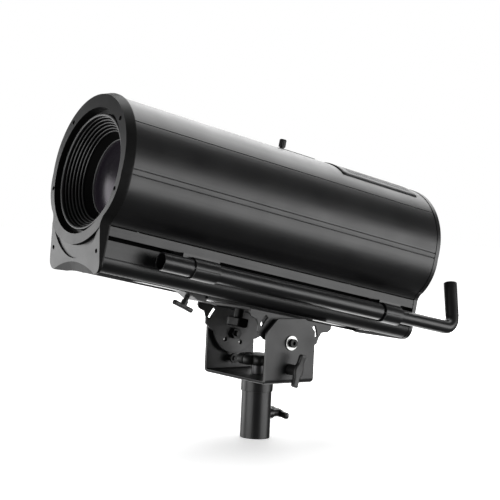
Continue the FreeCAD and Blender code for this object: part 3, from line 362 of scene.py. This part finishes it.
# ---------------------------------------------------------------- finishes of the CAD nodes
GROOVE_X = 76.5 * MM      # faces of a base rail deeper in than this, and above GROOVE_Z, line its groove
GROOVE_Z = 72.0 * MM
FORWARD = -0.7            # a face looks forward if its normal along the head is below this
DOWNWARD = -0.3           # a face looks down if the upward part of its normal is below this
WELD_DISTANCE = 1e-6
SHARP_EDGE = 32           # bend in degrees from which an edge is rounded
ROUNDS = {                # width of the rounded edges, mm: nodes
    1.1: ["front_frame", "rear_frame", "front_clamp_upper", "front_clamp_lower", "rear_clamp_upper",
          "rear_clamp_lower"],
    0.7: ["lower_bracket", "tilt_bracket", "slide_carriage", "hanger_nuts", "socket_collar", "stand_socket"],
    0.4: ["base_rail_right", "base_rail_left", "side_panel_right", "side_panel_left", "top_cover",
          "power_rocker", "power_inlet", "data_sockets", "rear_panel", "slide_rail", "slot_slider",
          "pivot_bolts", "handle_sleeve"],
}
OWN_FINISH = {"base_rail_right": "rail", "base_rail_left": "rail", "hanger_nuts": "blackened"}


def dress(obj, finish):
    obj.data.materials.clear()
    obj.data.materials.append(FINISHES[finish])


def second_finish(node, finish, chosen):
    """Gives the faces that the test chooses, by centre and normal in the head's frame, their own finish."""
    data = NODES[node].data
    data.materials.append(FINISHES[finish])
    turn = TO_HEAD.to_3x3()
    for face in data.polygons:
        if chosen(TO_HEAD @ face.center, turn @ face.normal):
            face.material_index = 1


def groove_for_painted_shade(centre, normal):
    return abs(centre.x) < GROOVE_X and centre.z > GROOVE_Z


def shaded_off_the_front(centre, normal):
    """Sides, rear and foot of the front frame: all that does not look forward, painted darker as shade."""
    return normal.y > FORWARD or normal.z < DOWNWARD


def round_edges(obj, width):
    """Small rounds on the sharp edges, made by modifiers over the untouched mesh."""
    weld = obj.modifiers.new("weld", "WELD")
    weld.merge_threshold = WELD_DISTANCE
    bevel = obj.modifiers.new("round", "BEVEL")
    bevel.width = width
    bevel.segments = 2
    bevel.limit_method = "ANGLE"
    bevel.angle_limit = math.radians(SHARP_EDGE)
    shading = obj.modifiers.new("shading", "WEIGHTED_NORMAL")
    shading.keep_sharp = True


for node, obj in NODES.items():
    dress(obj, OWN_FINISH.get(node, SLOT[node]))
# Painted shade: the faces inside the base rails' grooves get the near-black, dull finish.
second_finish("base_rail_right", "velvet_and_painted_shade", groove_for_painted_shade)
second_finish("base_rail_left", "velvet_and_painted_shade", groove_for_painted_shade)
# Painted shade: the front frame's sides and foot get the darker copy of its paint.
second_finish("front_frame", "frame_side_painted_shade", shaded_off_the_front)
for width, names in ROUNDS.items():
    for node in names:
        round_edges(NODES[node], width * MM)


# ---------------------------------------------------------------- meshes for the detailed pieces
def piece(name, vertices, faces, finish, place, smooth):
    """Mesh object from millimetre coordinates in a frame of its own, sharp above the smooth angle."""
    mesh = bpy.data.meshes.new(name)
    mesh.from_pydata([place @ (Vector(v) * MM) for v in vertices], [], faces)
    mesh.validate()
    work = bmesh.new()
    work.from_mesh(mesh)
    bmesh.ops.recalc_face_normals(work, faces=work.faces)
    work.to_mesh(mesh)
    work.free()
    obj = bpy.data.objects.new(name, mesh)
    bpy.context.scene.collection.objects.link(obj)
    mesh.shade_smooth()
    mesh.set_sharp_from_angle(angle=math.radians(smooth))
    dress(obj, finish)
    return obj


def skin(name, rings, finish, place, smooth, loop=False):
    """Closed skin over rings of equal length: capped at both ends, or joined into a loop."""
    count = len(rings[0])
    vertices = [v for ring in rings for v in ring]
    faces = []
    spans = len(rings) if loop else len(rings) - 1
    for i in range(spans):
        j = (i + 1) % len(rings)
        for k in range(count):
            m = (k + 1) % count
            faces.append((i * count + k, i * count + m, j * count + m, j * count + k))
    if not loop:
        faces.append(tuple(range(count)))
        faces.append(tuple((len(rings) - 1) * count + k for k in range(count)))
    return piece(name, vertices, faces, finish, place, smooth)


def lathe(name, profile, finish, place, steps=144, smooth=40):
    """Turns a closed (radius, height) profile about the local Z axis."""
    rings = [[(r * math.cos(a), r * math.sin(a), h) for a in around(steps)] for r, h in profile]
    return skin(name, rings, finish, place, smooth, loop=True)


def quarter(centre, start, end, radius, steps=5):
    """Points of an arc in a profile, between two angles in degrees."""
    points = []
    for i in range(steps + 1):
        a = math.radians(start + (end - start) * i / steps)
        points.append((centre[0] + radius * math.cos(a), centre[1] + radius * math.sin(a)))
    return points


def stands_for(obj, body, *nodes):
    """Puts a piece on its body, in place of the CAD nodes that are named."""
    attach(obj, body)
    if nodes:
        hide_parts(*nodes)


# ---------------------------------------------------------------- optics at the front
# Profiles are (radius, height) in BEAM, whose Z axis is the optical axis and runs to the rear.
BEAM = HEAD @ moved(0, 0, OPTIC_Z) @ rotated(-90, "X")
RIBS = 6
RIB_START = Vector((85.4, -361.2))
RIB_STEP = Vector((-3.2, 4.1))
RIB_R = 1.65
RIB_STEPS = 8
RIB_FOOT = 2.45           # half width of a rib at its foot
RIB_VALLEY = 2.9          # depth of the valleys between the ribs
# The hood's outer side from its rear forward, the lip with its inner edge, and the plain cone in the hood.
HOOD_BACK = [(69.8, -336.0), (78, -336.0), (78, -340), (90.5, -357.2), (102.8, -357.2), (102.8, -359.8),
             (89.5, -359.8)]
HOOD_LIP = (quarter((88.4, -367.6), 0, -90, 1.2, 4) + quarter((86.2, -367.2), -90, -180, 1.2, 4)
            + [(85.0, -364.6)])
HOOD_CONE = [(68.4, -339.0), (59.9, -327.6), (61.4, -326.6), (69.9, -338.0)]
LENS_R = 69.8
LENS_SAG = 13.0
LENS_TOP = -335.4         # foremost point of the dome
LENS_EDGE = (-322.4, -318.2)          # front and back of the rim
LENS_STEPS = 29
HOLDER = [(62.4, -325.6), (61.2, -327.4), (60.2, -328.2), *quarter((60.0, -327.4), -90, -180, 0.8, 4),
             (59.2, -325.9)]
POLE = 0.2                # a turned skin closes at this small radius instead of a point


def make_hood():
    """Lathe-turned baffle: a round lip, round ribs and a plain cone down to the objective."""
    along = RIB_STEP.normalized()
    out = Vector((-along.y, along.x))
    profile = HOOD_BACK + HOOD_LIP
    for i in range(RIBS):
        centre = RIB_START + RIB_STEP * i
        profile.append(tuple(centre - along * RIB_FOOT - out * RIB_VALLEY))
        for k in range(RIB_STEPS + 1):
            a = math.pi * k / RIB_STEPS
            profile.append(tuple(centre - along * RIB_R * math.cos(a) + out * RIB_R * math.sin(a)))
    profile.append(tuple(RIB_START + RIB_STEP * (RIBS - 1) + along * RIB_FOOT - out * RIB_VALLEY))
    stands_for(lathe("ribbed_hood", profile, "hood", BEAM, 160, 50), BODY["lens_hood"], "lens_hood")
    stands_for(lathe("hood_cone", HOOD_CONE, "velvet_and_painted_shade", BEAM), BODY["lens_hood"])


def make_lens():
    """Domed objective and the bright ring that holds it."""
    radius = (LENS_R ** 2 + LENS_SAG ** 2) / (2 * LENS_SAG)
    front, back = LENS_EDGE
    profile = [(POLE, back), (LENS_R, back), (LENS_R, front)]
    for i in range(1, LENS_STEPS + 1):
        r = LENS_R * (1 - i / LENS_STEPS) + POLE
        profile.append((r, LENS_TOP + radius - math.sqrt(radius ** 2 - r ** 2)))
    lens = lathe("domed_objective", profile, "objective", BEAM, smooth=30)
    stands_for(lens, BODY["front_lens"], "front_lens")
    ring = lathe("objective_ring", HOLDER, "bright_rim", BEAM, smooth=50)
    stands_for(ring, BODY["lens_retainer"], "lens_retainer")


# ---------------------------------------------------------------- vent over the lamp house
SHELL_Z = 204.0           # centre of the round casing above the tilt pivot
VENT_R = 111.7            # radius of the bent plate
VENT_SHEET = 2.2
VENT_ANGLES = ((-34.8, 34.8), (-29.5, 29.5))     # degrees: edges of the plate, of its perforated field
VENT_Y = ((63.3, 234.7), (80.0, 226.0))          # the same along the casing
VENT_COLUMNS = 26
VENT_ROWS = 34
HOLE = 0.66               # radius of a hole, as a share of half a cell
CELL_BORDER = ((0, 0), (1, 0), (2, 0), (2, 1), (2, 2), (1, 2), (0, 2), (0, 1))


def grid_position(step, cells, limits):
    """Place of a half-cell step on a plate: a margin of two steps, the divided field, a margin."""
    (start, end), (first, last) = limits
    field_end = 2 * (cells + 1)
    if step <= 2:
        return start + (first - start) * step / 2
    if step >= field_end:
        return last + (end - last) * (step - field_end) / 2
    return first + (last - first) * (step - 2) / (2 * cells)


def on_vent(u, v):
    """Point of the bent plate for a step across and a step along."""
    a = math.radians(grid_position(u, VENT_COLUMNS, VENT_ANGLES))
    return (VENT_R * math.sin(a), grid_position(v, VENT_ROWS, VENT_Y), SHELL_Z + VENT_R * math.cos(a))


def make_vent():
    """Perforated plate bent over the lamp house, with a plain margin."""
    vertices = []
    known = {}

    def corner(u, v):
        if (u, v) not in known:
            known[(u, v)] = len(vertices)
            vertices.append(on_vent(u, v))
        return known[(u, v)]

    faces = []
    for i in range(VENT_COLUMNS + 2):
        for j in range(VENT_ROWS + 2):
            u, v = 2 * i, 2 * j
            border = [corner(u + du, v + dv) for du, dv in CELL_BORDER]
            if i in (0, VENT_COLUMNS + 1) or j in (0, VENT_ROWS + 1):
                faces.append(border)
                continue
            first = len(vertices)
            for k in range(8):
                a = math.radians(-135 + 45 * k)
                vertices.append(on_vent(u + 1 + HOLE * math.cos(a), v + 1 + HOLE * math.sin(a)))
            for k in range(8):
                m = (k + 1) % 8
                faces.append((border[k], border[m], first + m, first + k))
    plate = piece("perforated_vent", vertices, faces, "mesh_plate", HEAD, 30)
    sheet = plate.modifiers.new("sheet", "SOLIDIFY")
    sheet.thickness = VENT_SHEET * MM
    sheet.offset = 1.0 if plate.data.polygons[0].normal.dot(UP) < 0 else -1.0
    stands_for(plate, BODY["vent_cover"], "vent_cover")


# ---------------------------------------------------------------- knobs
KNURLS = 16
KNURL_DEPTH = 0.09        # share of the knob's radius
KNOB_NECK = 1.8
STAR_R = 37.4
STAR_LOBES = 10
STAR_RINGS = 15
STAR_DEEP = 8.0           # depth of the valleys between the lobes
STAR_HEIGHT = 17.0
STAR_HALF = 8.4           # half height of the lobes
STAR_ROUND = 9.0          # how far the lobes draw in towards their upper and lower face
STAR_FACE = 12.0          # the same on the faces themselves
VALLEY_SHARE = 0.55       # share of that which the valleys take part in
HUB_BORE = 6.1
HUB_R = 10.9
CAP_R = 13.0              # to the start of its rounded rim
CAP_RIM = 0.8
UPRIGHT = Matrix.Identity(4)


def make_focus_knob():
    """Small knurled knob with a domed end."""
    low, high = head_box("focus_knob")
    middle = (low + high) / 2 / MM
    foot = low.z / MM
    radius = (high.x - low.x) / 2 / MM
    height = (high.z - low.z) / MM
    plain = [(0, 0.62), (KNOB_NECK, 0.62), (KNOB_NECK + 0.2, 0.95)]
    knurled = [(KNOB_NECK + 0.9, 1.0), (height - 2.0, 1.0)]
    dome = [(height - 0.7, 0.93), (height - 0.1, 0.72), (height - 0.05, 0.3)]
    rings = []
    for level, share in plain + knurled + dome:
        depth = KNURL_DEPTH if (level, share) in knurled else 0.0
        ring = []
        for a in around(96):
            r = radius * share * (1 - depth * (0.5 + 0.5 * math.cos(KNURLS * a)))
            ring.append((middle.x + r * math.cos(a), middle.y + r * math.sin(a), foot + level))
        rings.append(ring)
    stands_for(skin("knurled_focus_knob", rings, "plastic", HEAD, 50), BODY["focus_knob"], "focus_knob")


def make_star_knob():
    """Pan lock: a star knob with ball-like lobes on a turned hub."""
    heights = [v.co.z / MM for v in NODES["pan_knob"].data.vertices]
    bottom = min(heights)
    top = max(heights)
    foot = top - STAR_HEIGHT
    rings = []
    for i in range(STAR_RINGS):
        a = math.pi * (i / (STAR_RINGS - 1) - 0.5)
        level = (top + foot) / 2 + STAR_HALF * math.sin(a)
        inset = STAR_ROUND * (1 - math.cos(a)) if 0 < i < STAR_RINGS - 1 else STAR_FACE
        ring = []
        for t in around(200):
            lobe = abs(math.cos(STAR_LOBES * t / 2)) ** 0.75
            r = STAR_R - STAR_DEEP * (1 - lobe) - inset * (VALLEY_SHARE + (1 - VALLEY_SHARE) * lobe)
            ring.append((r * math.cos(t), r * math.sin(t), level))
        rings.append(ring)
    body = BODY["pan_knob"]
    stands_for(skin("star_knob", rings, "knob_rubber", UPRIGHT, 60), body, "pan_knob")
    hub = [(HUB_BORE, bottom + 0.1), (HUB_R - 0.7, bottom + 0.1), (HUB_R, bottom + 0.9), (HUB_R, foot + 1.0),
           (HUB_BORE, foot + 1.0)]
    stands_for(lathe("star_knob_hub", hub, "turned_hub", UPRIGHT, 64), body)
    cap = [(HUB_BORE + 0.1, top - 0.2), (CAP_R, top - 0.2)] + quarter((CAP_R, top - 0.9), 90, 0, CAP_RIM, 4)
    cap += [(CAP_R + CAP_RIM, top - 2.0), (HUB_BORE + 0.1, top - 2.0)]
    stands_for(lathe("star_knob_cap", cap, "turned_hub", UPRIGHT, 64), body)


# ---------------------------------------------------------------- wing handles of the clamps
WING_RINGS = 25
WING_END = 0.72           # the ends of the bar shrink to this share, over a tenth of its half length
WING_MIDDLE = 0.42        # share of the bar that the broad middle takes up
WING_BULGE = 0.6          # the broad middle stands out past the hub by this
TILT_WING_AT = (86.5, 0, -42.5)       # from the tilt pivot
TILT_WING_TURN = -17                  # degrees about the stem
SLIDE_WING_AT = (0, -155, 46.2)       # in the head's frame
SLIDE_WING_LEAN = 14                  # degrees from straight down
STAND_WING_AT = (0, 33, 38)
STAND_WING_TURN = 98


def make_wing(name, node, place, hub, shank, reach, half, arm, bow):
    """Wing handle: a stem along local X, a bar along local Z that is broad at the hub and slimmer outwards.

    hub is its radius and start, shank its radius and length, reach and half the bar's distance and half
    length, arm the half sizes (thick, broad) of the bar and bow how far its ends lean away from the stem.
    """
    hub_r, hub_start = hub
    shank_r, shank_length = shank
    thick_arm, broad_arm = arm
    rings = []
    for i in range(WING_RINGS):
        t = 2 * i / (WING_RINGS - 1) - 1
        end = min(1.0, (1 - abs(t)) * 10)
        shrink = WING_END + (1 - WING_END) * math.sqrt(1 - (1 - end) ** 2)
        middle = max(0.0, 1 - (t / WING_MIDDLE) ** 2)
        thick = thick_arm * (0.92 + 0.08 * abs(t)) * shrink
        broad = (broad_arm * (0.9 + 0.1 * abs(t)) + (hub_r + WING_BULGE - broad_arm) * middle) * shrink
        x = reach + bow * (2 * t * t - 1)
        ring = []
        for a in around(24):
            c = math.copysign(abs(math.cos(a)) ** 0.5, math.cos(a))
            d = math.copysign(abs(math.sin(a)) ** 0.5, math.sin(a))
            ring.append((x + thick * c, broad * d, half * t))
        rings.append(ring)
    stands_for(skin(name + "_bar", rings, "plastic", place, 50), BODY[node], node)
    base = reach - bow - thick_arm * 0.5
    stem = [(POLE, -shank_length), (shank_r, -shank_length), (shank_r, hub_start), (hub_r - 0.6, hub_start),
            (hub_r, hub_start + 0.6), (hub_r, base), (POLE, base)]
    stands_for(lathe(name + "_stem", stem, "plastic", place @ rotated(90, "Y"), 48), BODY[node])


def make_handles():
    x, y, z = TILT_WING_AT
    tilt = moved(x, y, z + PIVOT.z / MM) @ rotated(TILT_WING_TURN, "X")
    make_wing("tilt_wing", "tilt_lock_handle", tilt, hub=(8.7, 0.4), shank=(4.0, 17.9), reach=22.0,
              half=26.8, arm=(4.4, 5.6), bow=1.0)
    lean = math.radians(SLIDE_WING_LEAN)
    axis = Vector((0, -math.sin(lean), -math.cos(lean)))
    across = Vector((0, -axis.z, axis.y))
    slide = HEAD @ moved(*SLIDE_WING_AT) @ Matrix((axis, across.cross(axis), across)).transposed().to_4x4()
    make_wing("slide_wing", "slide_lock_knob", slide, hub=(5.4, 11.6), shank=(4.0, 0.0), reach=22.0,
              half=18.8, arm=(3.9, 4.6), bow=0.0)
    stand = moved(*STAND_WING_AT) @ rotated(90, "Z") @ rotated(STAND_WING_TURN, "X")
    make_wing("stand_wing", "stand_lock_screw", stand, hub=(6.6, 0.4), shank=(5.0, 11.9), reach=16.0,
              half=22.8, arm=(3.9, 5.4), bow=0.8)


# ---------------------------------------------------------------- display on the rear panel
DISPLAY_Z = 162.0
DISPLAY_FRAME = (37.5, 13.5, 3.0)     # half width, half height, corner radius
DISPLAY_GLASS = (34.5, 10.5, 1.5)
DISPLAY_BEVEL = 0.3


def rounded_plate(name, finish, size, near, far):
    """Plate with rounded corners on the rear panel, between two distances from the panel's face."""
    face = head_box("rear_panel")[1].y / MM
    half_x, half_z, corner = size
    right, top = half_x - corner, half_z - corner
    outline = []
    for x, z, start in ((right, top, 0), (-right, top, 90), (-right, -top, 180), (right, -top, 270)):
        outline += quarter((x, z), start, start + 90, corner)
    rings = []
    for depth, inset in ((near, 0.0), (far - DISPLAY_BEVEL, 0.0), (far, DISPLAY_BEVEL)):
        rings.append([(x - math.copysign(inset, x), face + depth, DISPLAY_Z + z - math.copysign(inset, z))
                      for x, z in outline])
    stands_for(skin(name, rings, finish, HEAD, 30), BODY["rear_panel"])


def make_display():
    """Cover glass over the display, in a thin frame."""
    rounded_plate("display_frame", "plastic", DISPLAY_FRAME, 0.05, 1.3)
    rounded_plate("display_glass", "screen", DISPLAY_GLASS, 0.2, 1.9)


make_hood()
make_lens()
make_display()
make_vent()
make_focus_knob()
make_star_knob()
make_handles()


# ---------------------------------------------------------------- camera, light and floor
VIEW_AZIMUTH = math.radians(54.08)
VIEW_ELEVATION = math.radians(1.11)
VIEW_ROLL = math.radians(2.63)
VIEW_DISTANCE = 1.9563
AIM_HEIGHT = 0.3108
AIM_SIDE = -0.0220
LENS_LENGTH = 84.744
SENSOR_WIDTH = 36.0
LIGHT_AIM = Vector((0, 0, 0.38))
AMBIENT = 0.09
FLOOR_SIZE = 60
FLOOR_FADE = (0.55, 1.0)  # radiance of the floor near the object and away from it
FADE_REACH = (0.1, 0.7)   # m from the stand
LIGHTS = {                # direction from the head, distance in m, width, height, radiance
    "overhead": ((-0.36, 0.60, 0.80), 4.0, 3.6, 3.7, 3.3),
    "side": ((0.81, 0.56, -0.05), 3.4, 3.7, 1.75, 4.0),
    "front": ((-0.81, -0.555, -0.08), 2.6, 1.8, 1.4, 3.0),
    "key": ((0.03, -1.0, -0.04), 3.0, 2.6, 1.9, 3.2),
    "backdrop": ((-0.81, 0.587, 0.0), 3.2, 3.0, 3.0, 2.0),
    "bounce": ((-0.60, 0.43, -0.68), 2.6, 2.6, 1.8, 2.6),
}


def make_camera():
    right = Vector((math.cos(VIEW_AZIMUTH), math.sin(VIEW_AZIMUTH), 0))
    level = math.cos(VIEW_ELEVATION)
    back = Vector((math.sin(VIEW_AZIMUTH) * level, -math.cos(VIEW_AZIMUTH) * level, math.sin(VIEW_ELEVATION)))
    up = back.cross(right)
    aim = Vector((0, 0, AIM_HEIGHT)) + right * AIM_SIDE
    data = bpy.data.cameras.new("camera")
    data.lens = LENS_LENGTH
    data.sensor_width = SENSOR_WIDTH
    camera = bpy.data.objects.new("camera", data)
    turn = Matrix((right, up, back)).transposed().to_4x4() @ Matrix.Rotation(VIEW_ROLL, 4, "Z")
    camera.matrix_world = Matrix.Translation(aim + back * VIEW_DISTANCE) @ turn
    bpy.context.scene.collection.objects.link(camera)
    bpy.context.scene.camera = camera


def softbox(name, direction, distance, width, height, radiance):
    """Rectangular light aimed at the middle of the head."""
    data = bpy.data.lights.new(name, "AREA")
    data.shape = "RECTANGLE"
    data.size = width
    data.size_y = height
    data.energy = radiance * math.pi * width * height
    light = bpy.data.objects.new(name, data)
    toward = Vector(direction).normalized()
    place = Matrix.Translation(LIGHT_AIM + toward * distance)
    light.matrix_world = place @ toward.to_track_quat("Z", "Y").to_matrix().to_4x4()
    light.visible_camera = False
    bpy.context.scene.collection.objects.link(light)


def make_world():
    """White behind the object and a dim even fill for everything else."""
    world = bpy.data.worlds.new("studio")
    world.use_nodes = True
    tree = world.node_tree
    fill = tree.nodes["Background"]
    white = tree.nodes.new("ShaderNodeBackground")
    for node, strength in ((fill, AMBIENT), (white, 1.0)):
        node.inputs["Color"].default_value = (1, 1, 1, 1)
        node.inputs["Strength"].default_value = strength
    path = tree.nodes.new("ShaderNodeLightPath")
    mix = tree.nodes.new("ShaderNodeMixShader")
    tree.links.new(path.outputs["Is Camera Ray"], mix.inputs["Fac"])
    tree.links.new(fill.outputs["Background"], mix.inputs[1])
    tree.links.new(white.outputs["Background"], mix.inputs[2])
    tree.links.new(mix.outputs["Shader"], tree.nodes["World Output"].inputs["Surface"])
    bpy.context.scene.world = world


def make_floor():
    """Pale floor that fades into the white of the background a little way from the object."""
    bpy.ops.mesh.primitive_plane_add(size=FLOOR_SIZE, location=(0, 0, CAD_BOX[0].z))
    floor = bpy.context.object
    floor.name = "floor"
    s = Shader("floor_pale")
    distance = s.add("ShaderNodeVectorMath", operation="LENGTH")
    s.link(s.place, distance.inputs[0])
    s.drive(Base_Color=s.ramp(s.noise(1.5, 3), (0.3, grey(0.86)), (0.7, grey(0.9))),
            Roughness=s.spread(s.noise(6, 3), 0.6, 0.75),
            Emission_Strength=s.spread(distance.outputs["Value"], *FLOOR_FADE, *FADE_REACH))
    s.fix(Emission_Color=(1, 1, 1, 1))
    floor.data.materials.append(s.material)
    floor.visible_glossy = False
    floor.visible_diffuse = False
    floor.visible_shadow = False


make_camera()
make_world()
make_floor()
for name, settings in LIGHTS.items():
    softbox(name, *settings)
bpy.context.scene.view_settings.view_transform = "Standard"
